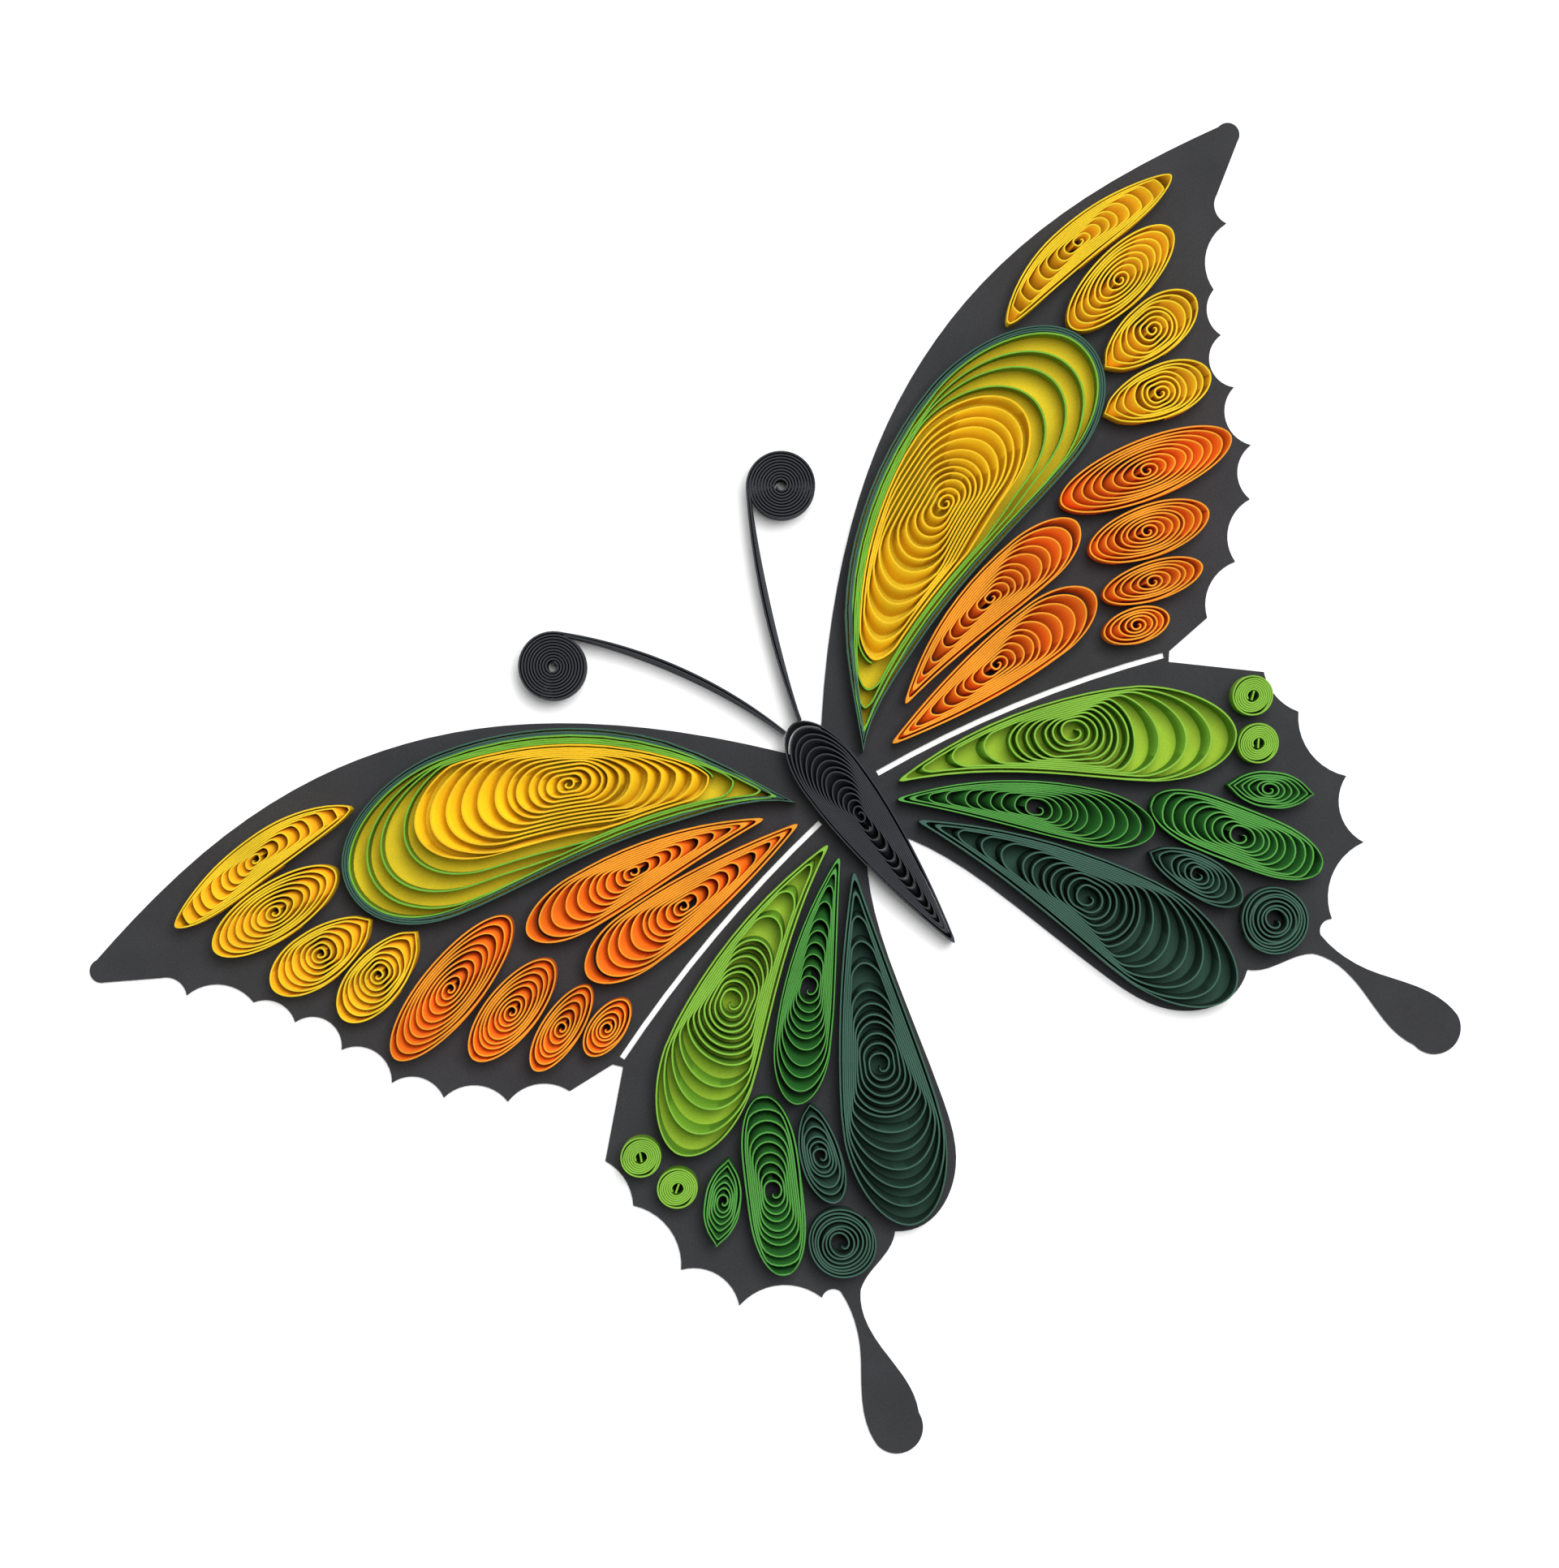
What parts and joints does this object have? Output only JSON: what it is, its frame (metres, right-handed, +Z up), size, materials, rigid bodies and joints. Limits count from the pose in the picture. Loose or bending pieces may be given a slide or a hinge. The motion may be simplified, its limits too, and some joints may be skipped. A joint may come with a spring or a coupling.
{
  "type": "quilled paper butterfly",
  "caption": "Butterfly of rolled paper coils standing on a cut black card, with a flat back for gluing onto a card or frame.",
  "frame": {"origin": "on the underside of the wing card, on the butterfly's axis under the middle of its body", "axes": "+Z up out of the card, +Y towards the head, +X towards the right wing as seen from above"},
  "size_m": [0.1034, 0.0654, 0.0035],
  "materials": {
    "black_card": "matt black card",
    "black_strip": "black quilling paper, cut edges up",
    "yellow_strip": "yellow quilling paper with amber flanks",
    "amber_strip": "amber yellow quilling paper",
    "orange_strip": "orange quilling paper",
    "lime_strip": "yellow quilling paper with lime green edges",
    "light_green_strip": "light green quilling paper",
    "green_strip": "mid green quilling paper",
    "dark_green_strip": "dark bluish green quilling paper"
  },
  "bodies": {
    "root": {"body": "black_strip", "left_antenna": "black_strip", "left_dark_green_drop": "dark_green_strip", "left_dark_green_drop_backing": "dark_green_strip", "left_dark_green_round": "dark_green_strip", "left_dark_green_small_drop": "dark_green_strip", "left_great_drop_backing": "amber_strip", "left_great_drop_border": "dark_green_strip", "left_great_drop_core": "amber_strip", "left_great_drop_wrap": "lime_strip", "left_green_drop": "green_strip", "left_green_leaf": "green_strip", "left_green_oval": "green_strip", "left_light_green_drop": "light_green_strip", "left_light_green_drop_backing": "light_green_strip", "left_light_green_lower_disc": "light_green_strip", "left_light_green_upper_disc": "light_green_strip", "left_orange_first_oval": "orange_strip", "left_orange_fourth_oval": "orange_strip", "left_orange_lower_drop": "orange_strip", "left_orange_second_oval": "orange_strip", "left_orange_third_oval": "orange_strip", "left_orange_upper_drop": "orange_strip", "left_yellow_lower_drop": "yellow_strip", "left_yellow_oval": "yellow_strip", "left_yellow_tip_leaf": "yellow_strip", "left_yellow_upper_drop": "yellow_strip", "right_antenna": "black_strip", "right_dark_green_drop": "dark_green_strip", "right_dark_green_drop_backing": "dark_green_strip", "right_dark_green_round": "dark_green_strip", "right_dark_green_small_drop": "dark_green_strip", "right_great_drop_backing": "amber_strip", "right_great_drop_border": "dark_green_strip", "right_great_drop_core": "amber_strip", "right_great_drop_wrap": "lime_strip", "right_green_drop": "green_strip", "right_green_leaf": "green_strip", "right_green_oval": "green_strip", "right_light_green_drop": "light_green_strip", "right_light_green_drop_backing": "light_green_strip", "right_light_green_lower_disc": "light_green_strip", "right_light_green_upper_disc": "light_green_strip", "right_orange_first_oval": "orange_strip", "right_orange_fourth_oval": "orange_strip", "right_orange_lower_drop": "orange_strip", "right_orange_second_oval": "orange_strip", "right_orange_third_oval": "orange_strip", "right_orange_upper_drop": "orange_strip", "right_yellow_lower_drop": "yellow_strip", "right_yellow_oval": "yellow_strip", "right_yellow_tip_leaf": "yellow_strip", "right_yellow_upper_drop": "yellow_strip", "wing_card": "black_card"}
  },
  "joints": []
}
